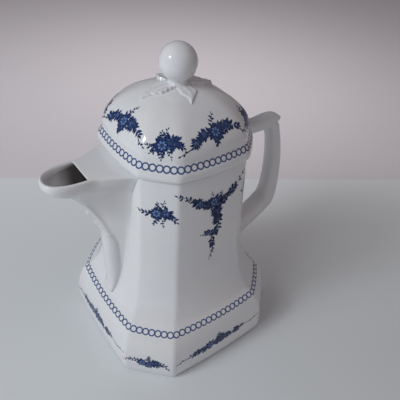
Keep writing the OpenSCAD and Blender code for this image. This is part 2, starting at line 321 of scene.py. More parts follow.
def finish_mesh(name, mesh, material, sharp=40):
    """Turns a bmesh in millimetres into an object in metres, smooth up to the given angle."""
    bmesh.ops.recalc_face_normals(mesh, faces=mesh.faces)
    bmesh.ops.scale(mesh, vec=(MM, MM, MM), verts=mesh.verts)
    for edge in mesh.edges:
        edge.smooth = len(edge.link_faces) == 2 and edge.calc_face_angle(0) < math.radians(sharp)
    for face in mesh.faces:
        face.smooth = True
    data = bpy.data.meshes.new(name)
    mesh.to_mesh(data)
    mesh.free()
    data.materials.append(material)
    made = bpy.data.objects.new(name, data)
    bpy.context.scene.collection.objects.link(made)
    return made


def edges_along(mesh, row, closed):
    """The edges from each vertex of a row to the next, made where there is none yet."""
    pairs = list(zip(row, row[1:])) + ([(row[-1], row[0])] if closed else [])
    return [mesh.edges.get(pair) or mesh.edges.new(pair) for pair in pairs]


def close_with_fan(mesh, edges):
    """Fills a loop of edges with one face and pokes it into a fan round its middle."""
    made = bmesh.ops.contextual_create(mesh, geom=edges)["faces"]
    bmesh.ops.poke(mesh, faces=made, center_mode="MEAN")


def loft(rings, caps=(True, True), closed=True, joined=False):
    """Extrudes the edges of a ring and moves them to the next ring, up to the last one."""
    mesh = bmesh.new()
    row = [mesh.verts.new(point) for point in rings[0]]
    first = last = edges_along(mesh, row, closed)
    for ring in rings[1:] + (rings[:1] if joined else []):
        grown = bmesh.ops.extrude_edge_only(mesh, edges=last)["geom"]
        new = {item for item in grown if isinstance(item, bmesh.types.BMVert)}
        row = [next(e.other_vert(v) for e in v.link_edges if e.other_vert(v) in new) for v in row]
        for vertex, point in zip(row, ring):
            vertex.co = point
        last = edges_along(mesh, row, closed)
    if joined:
        bmesh.ops.remove_doubles(mesh, verts=mesh.verts, dist=0.0001)
    for edges, wanted in ((first, caps[0]), (last, caps[1])):
        if wanted and closed and not joined:
            close_with_fan(mesh, edges)
    return mesh


def subtract(piece, *cutters):
    """Cuts closed shapes out of a piece and removes them."""
    for cutter in cutters:
        change = piece.modifiers.new("cut", "BOOLEAN")
        change.operation, change.solver, change.object = "DIFFERENCE", "MANIFOLD", cutter
        view = bpy.context.view_layer
        view.objects.active = piece
        view.update()
        bpy.ops.object.modifier_apply(modifier="cut")
        bpy.data.objects.remove(cutter)
    return piece


def settle(piece, body, nodes):
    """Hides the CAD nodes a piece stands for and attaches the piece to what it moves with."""
    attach(piece, body)
    if nodes:
        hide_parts(*nodes)
    print(piece.name, len(piece.data.polygons), "faces")
    return piece


print("mesh helpers ready")

# %% [markdown]
# ## Vessel
# The body was cast in a mould: a full belly on the foot, a deep hollow flare and nearly straight walls,
# about 4 mm thick. It could be a solid with a Solidify modifier, but the inside has its own floor and
# rim, so one loft runs up the outside, over the rim and down the inside. A rounded slot is then cut
# through the wall, where the drink goes into the spout.

# %% Vessel
RIM, WALL, FLOOR, FOOT = 170.0, 4.0, 7.0, 1.0
heel = [(67.6, FOOT), (69.2, FOOT + 0.03), (70.2, FOOT + 0.2), (70.7, FOOT + 0.55)]
belly = curve([(71.0, 2.4), (74.3, 9.5), (72.3, 34.5), (63.5, 44.6)], 36)
flare = curve([(63.5, 44.6), (56, 51), (49.5, 66), (47.3, 102)], 28, 1)
upper = [(47.3 - 2.5 * t, 102 + 68 * t) for t in (0.15, 0.3, 0.45, 0.6, 0.75, 0.9, 0.97)]
outside = heel + belly + flare + upper


def wall_at(z, y=0.0):
    """Distance from the axis to the vessel's outside at height z, a distance y off the middle."""
    a = float(np.interp(z, [p[1] for p in outside] + [RIM], [p[0] for p in outside] + [44.8]))
    return a + bow_at(z) * a * max(0.0, 1 - (y / (a * (1 - cut_at(z)))) ** 2)


outer = [at_height(plan(a, 4.5, cut_at(z), bow_at(z)), z) for a, z in outside]
rim_edge = [(44.8 - 0.9 + 0.9 * math.cos(u), RIM - 0.9 + 0.9 * math.sin(u))
            for u in (math.pi / 2 * i / 5 for i in range(6))]
outer += [at_height(plan(a, 4.5), z) for a, z in rim_edge]
inner_rim = [(41.6, RIM), (41.0, RIM - 0.2), (40.8, RIM - 0.7)]
inside = inner_rim + [(a - WALL, z) for a, z in reversed(outside) if FLOOR + 5 < z < 168]
inside += [(inside[-1][0] - 1.2, FLOOR + 2.2), (inside[-1][0] - 3, FLOOR + 0.6),
           (inside[-1][0] - 6, FLOOR)]
inner = [at_height(plan(a, 3.5, inner_cut(a + WALL, WALL, cut_at(z)), bow_at(z)), z)
         for a, z in inside]
vessel = finish_mesh("vessel_skin", loft(outer + inner), painted_glaze)

port = []
for x in (-64, -37):
    ends = []
    for low, middle in ((0, 146), (180, 70)):
        ends += [(x, 6 * math.cos(math.radians(low + 7.5 * i)),
                  middle + 6 * math.sin(math.radians(low + 7.5 * i))) for i in range(25)]
    port.append(ends)
slot_cutter = finish_mesh("port_cutter", loft(port), painted_glaze)
subtract(vessel, slot_cutter)
settle(vessel, "pot", ["vessel"])
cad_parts["foot_ring"].data.materials[0] = bare_biscuit

# %% [markdown]
# ## Spout
# A covered beak, cast in its own mould and luted on: level on top, as wide as the face at the rim, with
# nearly flat sides that run down to a soft rib. A tube along a curve would be round everywhere, so the
# spout is a loft of level sections, from the rib's foot on the flare up to the lip. The channel and the
# mouth are lofts of the same sections, drawn in by the wall, and are cut out of it.

# %% Spout
REACH, THROAT, RIB_FOOT, RIB_FRONT, SPOUT_WALL = 98.5, 110.0, 48.0, 61.8, 3.0
FACE_HALF = 44.8 * (1 - CUT)
LIP_HALF, MOUTH_BACK = 13.8, 72.7
rib = [(RIB_FRONT + out, RIB_FOOT + high) for out, high in (
    (-0.8, 1.4), (0.1, 2.0), (0.7, 2.8), (1.0, 3.8), (1.1, 5.0), (0.95, 6.5), (0.6, 8.4),
    (0.2, 10.5), (0.05, 13))]
root = (REACH - 11, RIM - 13)
throat = curve([(RIB_FRONT + 0.5, THROAT), (RIB_FRONT + 2.7, THROAT + 18),
                (root[0] - 9, root[1] - 3.75), root], 22)
lip = curve([root, (root[0] + 6, root[1] + 2.5), (REACH + 0.3, RIM - 8), (REACH, RIM - 2)], 10, 1)
front = rib + [(RIB_FRONT + 0.1 * i, 64 + 8 * i) for i in range(6)] + throat + lip


def root_half(z):
    """Half width of the spout where it meets the vessel."""
    half = 9.6 + 0.118 * (z - 66) + 5 * max(0.0, (z - 150) / 20) ** 2
    return min(FACE_HALF, half * math.sqrt(max(0.03, 1 - (max(0.0, 66 - z) / 17) ** 8)))


def nose_half(z):
    """Half width of the spout where its sides turn into its front."""
    half = 8.4 - 3.6 * ease(106, 136, z)
    half += (LIP_HALF - half) * ease(142, 168, z)
    return min(half, 0.8 * root_half(z))


def section(reach, z, grow=0.0, root_in=3.0):
    """One level section of the spout: flat sides from the face to a round nose."""
    tip = reach + grow
    half = max(1.0, root_half(z) + grow)
    nose = max(0.8, nose_half(z) + grow)
    wall = wall_at(z, half)
    boxy = ease(146, 168, z)
    depth = (0.46 * (reach - 41.8) + 3) * boxy + (9 - 4.5 * ease(100, 118, z)) * (1 - boxy)
    nose_x = max(tip - depth, min(wall + 1.5, tip - 1))
    shore = min(wall, nose_x - 0.5)
    fillet = min(1.6, 0.25 * half)
    side = [(-min(wall - root_in, shore - 1), half)]
    for t in (0, 0.05, 0.11, 0.18, 0.27, 0.38, 0.5, 0.65, 0.82):
        y = nose + (half - fillet - nose) * (1 - t) + fillet * math.exp(-t / 0.09)
        side.append((-(shore + (nose_x - shore) * t), y))
    blunt = 0.7 + 0.22 * boxy + 0.25 * ease(64, 53, z)
    side += curve([(-nose_x, nose), (-nose_x - 0.5 * (tip - nose_x), nose * (0.98 + 0.1 * boxy)),
                   (-tip, nose * blunt), (-tip, 0)], 14)
    return at_height(side + [(x, -y) for x, y in reversed(side[:-1])], z)


print("front line of", len(front), "points, from", front[0], "to", front[-1])

# %% [markdown]
# ## Skin of the spout
# The sections are drawn up from the rib's foot to the lip, and four more draw them in over the top
# edge. A bevel would do that too, but here the edge is as soft as the glaze leaves it all round.

# %% Skin of the spout
skin = [section(x, z) for x, z in front]
top_edge = [(-0.15, RIM - 1.1), (-0.4, RIM - 0.5), (-0.8, RIM - 0.12), (-1.3, RIM)]
skin += [section(REACH, z, grow) for grow, z in top_edge]
spout = finish_mesh("spout_skin", loft(skin), spout_glaze_painted_shade)
print("rings of the skin:", len(skin))

# %% [markdown]
# ## Channel and mouth
# Inside, the drink rises through a channel to a mouth that is open in front and covered behind. Both
# are cut out of the skin as closed shapes, so that the wall keeps its thickness. How deep a point lies
# under the outer skin is kept as an attribute, which darkens the glaze in the mouth: painted shade,
# standing in for the shade that falls in the hollow.

# %% Channel and mouth
channel_top = RIM - SPOUT_WALL
channel = [(x, z + 1.8) for x, z in front if RIB_FOOT + 7 < z < channel_top - 3]
channel += [(channel[-1][0] - 0.3, channel_top - 0.5), (channel[-1][0] - 1.5, channel_top)]
hollow = loft([section(x, z, -SPOUT_WALL, 4.5) for x, z in channel])


def mouth_ring(z, grow, edge, points=40):
    """The part of a level section in front of a straight edge, as a D."""
    ring = [(x, y) for x, y, _ in section(REACH - 0.2, min(z, RIM - 2), grow)]
    nose = [p for p in ring if p[0] < -edge]
    corner_y = float(np.interp(edge, [-x for x, y in ring if y > 0], [y for x, y in ring if y > 0]))
    nose = [(-edge, corner_y)] + nose + [(-edge, -corner_y)]
    lengths = [0.0]
    for p, q in zip(nose, nose[1:]):
        lengths.append(lengths[-1] + math.dist(p, q))
    where = np.linspace(0, lengths[-1], points)
    xs = np.interp(where, lengths, [p[0] for p in nose])
    ys = np.interp(where, lengths, [p[1] for p in nose])
    straight = [(-edge, -corner_y + 2 * corner_y * i / 6) for i in range(1, 6)]
    return at_height(list(zip(xs, ys)) + straight, z)


mouth = [mouth_ring(z, grow, MOUTH_BACK - cut_back) for z, grow, cut_back in (
    (RIM - 4.5, -3.6, 4.2), (RIM - 3, -3.0, 2.6), (RIM - 1.3, -2.6, 0.8), (RIM - 0.5, -2.25, 0.15),
    (RIM - 0.05, -1.7, 0.0), (RIM + 1.2, -1.65, 0.0))]
beak_mouth = finish_mesh("mouth_cutter", loft(mouth), spout_glaze_painted_shade)
outer_spout = BVHTree.FromPolygons([v.co * 1000 for v in spout.data.vertices],
                                   [p.vertices for p in spout.data.polygons])
subtract(spout, finish_mesh("channel_cutter", hollow, spout_glaze_painted_shade), beak_mouth)
# painted shade: the attribute grows with depth under the outer skin and towards the back of the mouth,
# so the glaze there is painted darker
painted_mouth_shade = spout.data.attributes.new("painted_mouth_shade", "FLOAT", "POINT")
for vertex, shaded in zip(spout.data.vertices, painted_mouth_shade.data):
    point = vertex.co * 1000
    deep_in = min(1.0, max(0.0, (outer_spout.find_nearest(point)[3] - 0.6) / 1.5))
    shaded.value = deep_in * min(1.0, max(0.0, (85 + point.x) / 10))
settle(spout, "pot", ["spout"])

# %% [markdown]
# ## Handle
# A squared loop for three or four fingers. It was cast and luted on, so it swells and spreads where it
# meets the body. A bevelled curve would keep one section, so a rounded section is carried along the
# path with a depth and a width of its own at each step. The thumb rest is a second short sweep on top.

# %% Handle
def sweep(path, depths, widths, soft=0.62, points=28):
    """Rounded section carried along a path in the XZ plane."""
    rings = []
    for i, (x, z) in enumerate(path):
        a, b = path[max(0, i - 1)], path[min(len(path) - 1, i + 1)]
        way = math.atan2(b[1] - a[1], b[0] - a[0])
        ring = []
        for k in range(points):
            u = 2 * math.pi * k / points
            deep = math.copysign(abs(math.cos(u)) ** soft, math.cos(u)) * depths[i] / 2
            wide = math.copysign(abs(math.sin(u)) ** soft, math.sin(u)) * widths[i] / 2
            ring.append((x - deep * math.sin(way), wide, z + deep * math.cos(way)))
        rings.append(ring)
    return rings


GRIP_X, GRIP_TOP, GRIP_FOOT = 106.6, 163.0, 51.0
crook = GRIP_FOOT + 62
elbow = (GRIP_X - 5.6, GRIP_FOOT + 28.5)
sill = (GRIP_X - 27, GRIP_FOOT + 14)
land = (51.3, GRIP_FOOT - 1)
arm = [(44 + 3.1 * i, GRIP_TOP) for i in range(12)]
knee = curve([(GRIP_X - 27, GRIP_TOP), (GRIP_X - 16, GRIP_TOP + 0.4),
              (GRIP_X - 11.5, GRIP_TOP - 1), (GRIP_X - 9.9, GRIP_TOP - 9.5)], 14)
grip = curve([knee[-1], (GRIP_X - 5.8, GRIP_TOP - 22), (GRIP_X - 3, crook + 13),
              (GRIP_X - 2.2, crook)], 12, 1)
bend = curve([grip[-1], (GRIP_X - 0.9, crook - 22), (GRIP_X - 3, GRIP_FOOT + 33), elbow], 14, 1)
foot_run = curve([elbow, (elbow[0] - 2.6, elbow[1] - 3.6), (sill[0] + 9, sill[1] + 5), sill], 8, 1)
ending = [(sill[0] + (land[0] - sill[0]) * t, sill[1] + (land[1] - sill[1]) * t)
          for t in (0.12, 0.25, 0.38, 0.5, 0.62, 0.74, 0.86, 1)]
path = arm + knee + grip + bend + foot_run + ending
start = len(arm) + len(knee)
print("path of the handle:", len(path), "points")

# %% [markdown]
# ## Skin of the handle
# The grip grows from the top arm to the lower end, and both roots spread like luted clay. A plain sweep
# with a fillet added later would need a boolean at each root, so the section grows on the way instead.

# %% Skin of the handle
depths, widths = [], []
for i, (x, z) in enumerate(path):
    growth = max(0.0, min(1.0, (i - start + 3) / 29))
    fillet = 3.0 * math.exp(-max(0.0, x - 48) / 2.2) if i < len(arm) else 0.0
    if i > start + 26:
        fillet = 6.0 * math.exp(-max(0.0, x - wall_at(z)) / 5.0)
    depths.append(9.8 + 9.2 * growth ** 1.15 + fillet)
    widths.append(13 + 3 * growth ** 2 + 0.8 * fillet)
handle = finish_mesh("handle_skin", loft(sweep(path, depths, widths)), white_glaze, 60)
rest_path = [(78, 165.4), (81, 165.7), (86, 165.9), (91, 165.9), (95, 165.8), (97.6, 165.4),
             (99.2, 164.9), (100.2, 164.3)]
rest_depths = [3.5, 4.2, 5.0, 5.2, 5.2, 5.0, 4.2, 2.2]
rest_widths = [11.5, 12.6, 13.4, 13.6, 13.4, 12.2, 10, 6]
thumb = finish_mesh("thumb_rest", loft(sweep(rest_path, rest_depths, rest_widths)), white_glaze, 60)
settle(handle, "pot", ["handle"])
settle(thumb, "pot", [])

# %% [markdown]
# ## Lid
# A loose lid: a flared band with a groove over it carries a dome of eight soft panels, and a collar
# below keeps it in the mouth. Turning a profile would make it round, so it is a loft of the vessel's
# own plan, and its edges line up with the body's. The collar is a ring of its own.

# %% Lid
LID_A, DOME_TOP, LID_T = 45.6, 213.0, 3.5
band = [(LID_A - 0.7, RIM), (LID_A - 0.1, RIM + 0.35), (LID_A + 0.55, RIM + 0.9),
        (LID_A + 1.35, RIM + 1.9), (LID_A + 1.7, RIM + 2.8), (LID_A + 1.8, RIM + 4),
        (LID_A + 1.78, RIM + 5.2), (LID_A + 1.62, RIM + 6.5)]
groove = curve([band[-1], (LID_A + 0.72, RIM + 9.2), (44.0, RIM + 11.0), (44.0, RIM + 14.2)], 12, 1)
dome = curve([(44.0, RIM + 14.2), (45.1, RIM + 25.8), (28.3, DOME_TOP - 1.5), (8, DOME_TOP)], 44, 1)
lid_line = band + groove + dome


def ridge(z):
    return 9 * min(1.0, 0.45 + 0.55 * (z - RIM) / 14.2)


shell = [at_height(plan(a, ridge(z)), z) for a, z in lid_line]
shell += [at_height(plan(a, 9), DOME_TOP + (8 - a) * 0.01) for a in (6, 4, 2)]
under = [(a - LID_T, min(DOME_TOP - LID_T, z - 0.6 * LID_T)) for a, z in dome if a > 13]
under = [(36.5, RIM), (36.5, RIM + 4), (under[0][0] - 0.5, RIM + 10.2)] + under
below = [at_height(plan(a, 3, inner_cut(a + LID_T, LID_T)), z) for a, z in reversed(under)]
lid = finish_mesh("lid_skin", loft(below + shell), painted_glaze)
settle(lid, "lid", ["lid_dome"])

# %% [markdown]
# ## Collar
# The ring below the dome that keeps the lid in the mouth. A solid could be hollowed by a boolean, but
# one profile, carried round the plan and joined to itself, gives both walls at once.

# %% Collar
collar_out, collar_in, low = 40.0, 36.5, RIM - 14
collar_line = [(collar_out, RIM), (collar_out, low + 1), (collar_out - 0.3, low + 0.3),
               (collar_out - 1, low), (collar_in + 1, low), (collar_in + 0.3, low + 0.3),
               (collar_in, low + 1), (collar_in, RIM)]
collar = finish_mesh("lid_collar_skin", loft(
    [at_height(plan(a, 4 if a > 38 else 3, inner_cut(44.8, 44.8 - a)), z) for a, z in collar_line],
    joined=True), white_glaze)
settle(collar, "lid", ["lid_collar"])

# %% [markdown]
# ## Knob
# A plain ball on a short neck. It is round, so this piece alone is turned: its profile is drawn once
# and spun about the axis. A ready-made ball wouldn't flow out into the neck.

# %% Knob
BALL, BALL_Z = 12.55, 227.8


neck_line = [(9.6, DOME_TOP + 0.05), (8.3, DOME_TOP + 0.5), (7.3, DOME_TOP + 1.2),
             (6.8, DOME_TOP + 2.1), (6.7, DOME_TOP + 3.1)]
lowest = -math.asin(math.sqrt(1 - (6.7 / BALL) ** 2))
ball_line = [(BALL * math.cos(u), BALL_Z + BALL * math.sin(u))
             for u in np.linspace(lowest + 0.06, math.pi / 2 - 0.02, 40)]
turning = bmesh.new()
profile = [turning.verts.new((r, 0, z)) for r, z in neck_line + ball_line]
profile += edges_along(turning, profile, False)
bmesh.ops.spin(turning, geom=profile, cent=(0, 0, 0), axis=(0, 0, 1), angle=2 * math.pi, steps=72,
               use_merge=True)
open_edges = [edge for edge in turning.edges if edge.is_boundary]
ends = bmesh.ops.holes_fill(turning, edges=open_edges, sides=0)["faces"]
bmesh.ops.poke(turning, faces=ends, center_mode="MEAN")
knob = finish_mesh("knob_skin", turning, white_glaze)
settle(knob, "lid", ["lid_knob"])

# %% [markdown]
# ## Modelled leaves
# Leaves pressed in a mould and laid on: four round the neck of the knob and one on the throat of the
# spout. Separate flat leaves would stand off the glaze like paper. So rows of points are dropped on
# the skin below and lifted by a height, which falls under the skin outside the leaf.

# %% Leaf relief
def surface_of(*pieces):
    """A tree for dropping points onto pieces, in millimetres."""
    verts, faces = [], []
    for piece in pieces:
        base = len(verts)
        verts += [v.co * 1000 for v in piece.data.vertices]
        faces += [[base + i for i in p.vertices] for p in piece.data.polygons]
    return BVHTree.FromPolygons(verts, faces)


def relief(name, places, lifts, material, wrap=False):
    """Rows of (place on the skin, normal), each lifted by its own height, joined row by row."""
    rows = [[hit + normal * lift for (hit, normal), lift in zip(row, heights)]
            for row, heights in zip(places, lifts)]
    return finish_mesh(name, loft(rows, (False, False), wrap), material, 180)


print("relief helper ready")

# %% [markdown]
# ## Leaves round the knob
# Four pointed leaves lie on the dome under the knob, with beaded edges, ribs and fine flutes. The rows
# are rings round the axis, and one height function holds the outline and the carving, so an edge never
# parts from the dome.

# %% Leaves round the knob
lid_tree = surface_of(lid)
radii = [6.0 + 0.36 * i for i in range(66)]
ways = [1.2 * j for j in range(300)]
LEAF_ALONG = (6, 9.9, 12.5, 15.3, 17.5, 19.4, 22.5, 25.5, 29)
LEAF_HALF = (6.4, 5.9, 6.5, 6.5, 5.3, 3.9, 2.4, 1.3, 0)


def calyx_height(r, way):
    """Height of the four pointed leaves over the dome; the one towards -Y leans a little."""
    leaning = 225 < way < 315
    off = (way + 45 + (12 * ease(13, 25, r) if leaning else 0)) % 90 - 45
    across = abs(r * math.sin(math.radians(off)))
    along = r * math.cos(math.radians(off)) * (1.12 if leaning and r > 12 else 1)
    if along >= 29:
        return -0.5
    half = float(np.interp(along, LEAF_ALONG, LEAF_HALF))
    beads = 0.55 * abs(math.sin(math.pi * along / 3.5)) * ease(27, 17, along)
    edge = half + (0.2 if leaning else 1) * beads - across
    body = ease(-0.3, 1.7 if leaning else 1.3, edge)
    rib = math.exp(-(across / 1.3) ** 2) * ease(28, 20, along)
    rolled = math.exp(-((edge - 1.1) / 0.8) ** 2) * abs(math.sin(math.pi * along / 3.5))
    tip = ease(21, 27, along)
    if leaning:
        return -0.5 + body * (1.4 + 0.25 * rib + 0.2 * tip)
    flute = math.cos(2 * math.pi * across / 4.4)
    return -0.5 + body * (1.95 + 0.16 * flute + 0.45 * rolled + 0.4 * tip)


calyx_places, calyx_lift = [], []
for r in radii:
    row, lifts = [], []
    for way in ways:
        x, y = r * math.cos(math.radians(way)), r * math.sin(math.radians(way))
        hit, normal, _, _ = lid_tree.ray_cast(Vector((x, y, 260)), Vector((0, 0, -1)))
        row.append((hit, normal if normal.z > 0 else -normal))
        lifts.append(calyx_height(r, way))
    calyx_places.append(row)
    calyx_lift.append(lifts)
leaves = relief("knob_leaves_skin", calyx_places, calyx_lift, white_glaze, True)
settle(leaves, "lid", ["knob_leaves"])

# %% [markdown]
# ## Leaf on the throat
# A leaf runs up the front of the spout from two soft scrolls to a bead. It is made in the same way, with
# rays that come from the front.

# %% Leaf on the throat
spout_tree = surface_of(spout)


def throat_height(y, z):
    """Height of the leaf on the throat: scrolls at its foot and a bead at its tip."""
    u = (z - THROAT) / 26
    half = 9.6 * (0.66 - 0.57 * max(0.0, u) ** 1.1)
    lobes = 1.3 * abs(math.cos(math.pi * (z - THROAT) / 5.2)) * (1 - 0.6 * min(1, max(0, u)))
    edge = half + lobes - abs(y)
    body = ease(-0.3, 1.8, edge) * ease(1, 14, z - THROAT)
    if u > 1:
        body *= ease(1.12, 1.0, u)
    rib = math.exp(-(y / 1.3) ** 2)
    vein = math.cos(2 * math.pi * (z + 0.8 * abs(y)) / 5.2)
    height = -0.5 + body * (1.25 + 0.12 * vein + 0.4 * rib)
    for cy, cz, r in ((0, THROAT + 23.5, 2.0), (-6.6, THROAT + 3.6, 2.2), (6.6, THROAT + 3.6, 2.2)):
        height += 1.2 * math.exp(-((y - cy) ** 2 + (z - cz) ** 2) / (r * r))
    return height


from_front = Vector((1.0, 0, 0.35)).normalized()
leaf_places, leaf_lift = [], []
for i in range(90):
    z = THROAT - 4 + 0.38 * i
    row, lifts = [], []
    for j in range(-44, 45):
        y = j * 0.3
        hit, normal, _, _ = spout_tree.ray_cast(Vector((-130, y, z - 0.35 * 60)), from_front)
        if hit is None:
            hit, normal = row[-1] if row else (Vector((-60, y, z)), Vector((-1, 0, 0)))
        row.append((hit, normal if normal.x < 0 else -normal))
        lifts.append(throat_height(hit.y, hit.z))
    leaf_places.append(row)
    leaf_lift.append(lifts)
throat_leaf = relief("spout_leaf_skin", leaf_places, leaf_lift, white_glaze)
settle(throat_leaf, "pot", ["spout_leaf"])

# %% [markdown]
# ## Blue painting
# Sprays and garlands in cobalt. An image could carry them, but it has a fixed resolution, and a shader
# pattern can't place single leaves. So each stroke is drawn flat, in millimetres on its panel, and
# dropped onto the skin as a thin film, which fades out at its border. There are very many strokes, so
# their few faces are added straight to one mesh, without an operator's call for each.

# %% Painting tools
class Ink:
    """Collects strokes for one painted film."""

    def __init__(self, tree, lift=0.07):
        self.tree, self.lift = tree, lift
        self.mesh = bmesh.new()
        self.ink = self.mesh.verts.layers.float.new("ink")
        self.tone = self.mesh.verts.layers.float.new("tone")

    def vert(self, panel, u, v, ink, tone, level):
        origin, way = panel(u, v)
        hit, normal, _, _ = self.tree.ray_cast(origin, way)
        if hit is None:
            return None
        if normal.dot(way) > 0:
            normal = -normal
        made = self.mesh.verts.new(hit + normal * (self.lift + 0.02 * level))
        made[self.ink], made[self.tone] = ink, tone
        return made

    def face(self, *verts):
        if all(verts) and len(set(verts)) == len(verts):
            self.mesh.faces.new(verts)

    def blob(self, panel, outline, middle, tone=0.0, level=0, strength=1.0, core=0.72):
        """A filled shape: full ink inside, fading in its outer quarter."""
        centre = self.vert(panel, *middle, strength, tone, level)
        inner, rim = [], []
        for u, v in outline:
            iu, iv = middle[0] + (u - middle[0]) * core, middle[1] + (v - middle[1]) * core
            inner.append(self.vert(panel, iu, iv, strength, tone, level))
            rim.append(self.vert(panel, u, v, 0.0, tone, level))
        count = len(outline)
        for i in range(count):
            j = (i + 1) % count
            self.face(centre, inner[i], inner[j])
            self.face(inner[i], rim[i], rim[j], inner[j])

    def line(self, panel, points, width, tone=0.0, level=0, closed=False, strength=1.0):
        """A brush line with soft sides."""
        rows = []
        count = len(points)
        for i, (u, v) in enumerate(points):
            a = points[(i - 1) % count] if closed else points[max(0, i - 1)]
            b = points[(i + 1) % count] if closed else points[min(count - 1, i + 1)]
            du, dv = b[0] - a[0], b[1] - a[1]
            size = math.hypot(du, dv) or 1.0
            nu, nv = -dv / size, du / size
            swell = math.sin(math.pi * min(1, (i + 0.5) / count))
            thin = width if closed else width * (0.35 + 0.65 * swell)
            row = []
            for step, ink in ((-0.5, 0.0), (-0.3, strength), (0.3, strength), (0.5, 0.0)):
                off_u, off_v = nu * thin * step, nv * thin * step
                row.append(self.vert(panel, u + off_u, v + off_v, ink, tone, level))
            rows.append(row)
        pairs = list(zip(rows, rows[1:])) + ([(rows[-1], rows[0])] if closed else [])
        for one, two in pairs:
            for k in range(3):
                self.face(one[k], one[k + 1], two[k + 1], two[k])

    def object(self, name):
        return finish_mesh(name, self.mesh, cobalt_blue, 180)


print("film ready")

# %% [markdown]
# ## Leaves, blossoms and twigs
# A painter builds a spray from few strokes: pointed leaves, petals, a heart of dots and a stem. Each is
# a short function, and a twig or a tuft calls them with small random changes.

# %% Leaves, blossoms and twigs
def leaf_shape(u, v, way, length, width, steps=7):
    """Outline of a pointed leaf that starts at (u, v) and runs along way, and its middle."""
    c, s = math.cos(way), math.sin(way)
    right_side, left_side = [], []
    for i in range(steps + 1):
        t = i / steps
        half = width / 2 * math.sin(math.pi * t ** 0.8) ** 0.9 if 0 < t < 1 else 0.0
        right_side.append((u + c * length * t - s * half, v + s * length * t + c * half))
        left_side.append((u + c * length * t + s * half, v + s * length * t - c * half))
    outline = right_side + left_side[-2:0:-1]
    return outline, (u + c * length * 0.5, v + s * length * 0.5)


def leaf(ink, panel, u, v, way, length, width, tone=0.0, level=0):
    outline, middle = leaf_shape(u, v, way, 1.08 * length, 1.3 * width)
    ink.blob(panel, outline, middle, tone, level, 1.0, 0.84)


def flower(ink, panel, u, v, size, turn=0.0, petals=6):
    """An open blossom: dark outlined petals, pale inside, with a dotted heart."""
    for k in range(petals):
        way = turn + 2 * math.pi * k / petals
        leaf(ink, panel, u + 0.1 * size * math.cos(way), v + 0.1 * size * math.sin(way), way,
             size * 0.95, size * 0.72, 0.0, 1)
        outline, middle = leaf_shape(u + 0.24 * size * math.cos(way), v + 0.24 * size * math.sin(way),
                                     way, size * 0.56, size * 0.38)
        ink.blob(panel, outline, middle, 1.0, 2, 0.8, 0.8)
    for k in range(5):
        way = turn + 0.5 + 2 * math.pi * k / 5
        cu, cv = u + 0.13 * size * math.cos(way), v + 0.13 * size * math.sin(way)
        ring = [(cu + 0.09 * size * math.cos(a), cv + 0.09 * size * math.sin(a))
                for a in (math.pi / 3 * i for i in range(6))]
        ink.blob(panel, ring, (cu, cv), 0.1, 3)


def twig(ink, panel, points, count, sizes, seed, spread=0.95, stem=0.45):
    """A stem along a cubic curve with pointed leaves on both sides; sizes from start to end."""
    rng = random.Random(seed)
    line = curve(points, 22)
    ink.line(panel, line, stem)
    for k in range(count):
        t = (k + 0.5) / count
        i = min(21, int(t * 22))
        (u, v), (u2, v2) = line[i], line[i + 1]
        way = math.atan2(v2 - v, u2 - u)
        size = sizes[0] + (sizes[1] - sizes[0]) * t
        size *= rng.uniform(0.8, 1.2)
        side = 1 if k % 2 else -1
        turn = way + side * (spread + rng.uniform(-0.3, 0.25))
        leaf(ink, panel, u, v, turn, size, size * rng.uniform(0.34, 0.46), rng.choice((0, 0, 0.12)))
        if rng.random() < 0.45:
            leaf(ink, panel, u, v, way - side * rng.uniform(0.5, 1.1), size * 0.75, size * 0.3, 0.05)
    (u, v), (u2, v2) = line[-2], line[-1]
    leaf(ink, panel, u2, v2, math.atan2(v2 - v, u2 - u), sizes[1] * 0.9, sizes[1] * 0.32)


def tuft(ink, panel, u, v, size, seed, count=16, squash=0.75):
    """A dense wreath of leaves behind a blossom."""
    rng = random.Random(seed)
    wash = [(u + 0.78 * size * math.cos(w) * rng.uniform(0.85, 1.1),
             v + 0.78 * size * squash * math.sin(w) * rng.uniform(0.85, 1.1))
            for w in (math.pi / 9 * i for i in range(18))]
    ink.blob(panel, wash, (u, v), 0.7, -1, 0.6, 0.6)
    for k in range(count):
        way = 2 * math.pi * k / count + rng.uniform(-0.2, 0.2)
        far = size * rng.uniform(0.25, 0.5)
        cu, cv = u + far * math.cos(way), v + far * squash * math.sin(way)
        length = size * rng.uniform(0.55, 0.85)
        outward = math.atan2(squash * math.sin(way), math.cos(way)) + rng.uniform(-0.35, 0.35)
        leaf(ink, panel, cu, cv, outward, length, length * rng.uniform(0.3, 0.42),
             rng.choice((0, 0, 0.15)))


print("painting tools ready")

# %% [markdown]
# ## Panels and motifs
# A panel turns flat coordinates into rays onto one face of the pot. A motif lists its stems (four
# control points, the number of leaves, the first and last leaf's length), thin tendrils, leafy clusters
# and blossoms. The leaves are drawn by rule with a seed for each face, so their sizes and turns differ
# from face to face, as on hand-painted ware, and every run gives the same ones.

# %% Painted motifs
def facing(out, tilt):
    """The way up along a face that leans back by tilt, and the way to look straight at it."""
    c, d = math.cos(tilt), math.sin(tilt)
    return Vector((-d * out.x, -d * out.y, c)), Vector((-c * out.x, -c * out.y, -d))


def face_panel(turn, tilt=0.0, centre_z=0.0):
    """Rays onto the face whose outward direction is turn degrees from +X."""
    a = math.radians(turn)
    out = Vector((math.cos(a), math.sin(a), 0))
    along = Vector((-math.sin(a), math.cos(a), 0))
    rise, look = facing(out, math.radians(tilt))

    def panel(u, v):
        point = Vector((0, 0, centre_z)) + out * 38 + along * u + rise * (v - centre_z)
        return point - look * 90, look
    return panel


